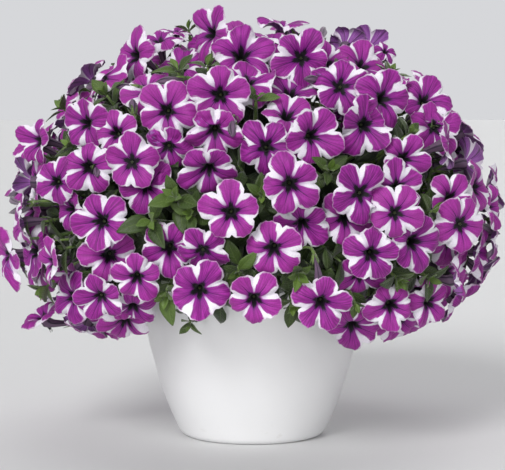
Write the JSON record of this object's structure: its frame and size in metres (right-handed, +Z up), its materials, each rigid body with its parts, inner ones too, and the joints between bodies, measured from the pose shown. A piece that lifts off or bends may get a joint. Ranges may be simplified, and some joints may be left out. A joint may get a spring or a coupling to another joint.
{
  "type": "potted petunia",
  "caption": "Bushy petunia in full bloom: a dome of striped funnel flowers, buds and leaves growing out of a plain round bowl-shaped pot that stands by itself.",
  "frame": {"origin": "centre of the pot's flat base, on the surface it stands on", "axes": "+Z up along the pot's axis, the side that the picture shows faces -Y, +X to its right"},
  "size_m": [0.5096, 0.4923, 0.427],
  "materials": {
    "pot_white": "satin",
    "potting_mix": "matte",
    "leaf_green": "satin",
    "petal_purple": "matte"
  },
  "bodies": {
    "root": {"pot": "pot_white", "soil": "potting_mix", "foliage": "leaf_green", "spray_01": "petal_purple", "spray_02": "petal_purple", "spray_03": "petal_purple", "spray_04": "petal_purple", "spray_05": "petal_purple", "spray_06": "petal_purple", "spray_07": "petal_purple", "spray_08": "petal_purple", "spray_09": "petal_purple", "spray_10": "petal_purple", "spray_11": "petal_purple", "spray_12": "petal_purple", "spray_13": "petal_purple", "spray_14": "petal_purple", "spray_15": "petal_purple", "spray_16": "petal_purple", "spray_17": "petal_purple", "spray_18": "petal_purple", "spray_19": "petal_purple", "spray_20": "petal_purple", "spray_21": "petal_purple", "spray_22": "petal_purple", "spray_23": "petal_purple", "spray_24": "petal_purple", "spray_25": "petal_purple", "spray_26": "petal_purple", "spray_27": "petal_purple", "spray_28": "petal_purple", "spray_29": "petal_purple", "spray_30": "petal_purple", "spray_31": "petal_purple", "spray_32": "petal_purple", "spray_33": "petal_purple", "spray_34": "petal_purple", "spray_35": "petal_purple", "spray_36": "petal_purple", "spray_37": "petal_purple", "spray_38": "petal_purple", "spray_39": "petal_purple", "spray_40": "petal_purple", "spray_41": "petal_purple", "spray_42": "petal_purple", "spray_43": "petal_purple", "spray_44": "petal_purple", "spray_45": "petal_purple", "spray_46": "petal_purple", "spray_47": "petal_purple", "spray_48": "petal_purple", "spray_49": "petal_purple", "spray_50": "petal_purple", "spray_51": "petal_purple"}
  },
  "joints": []
}
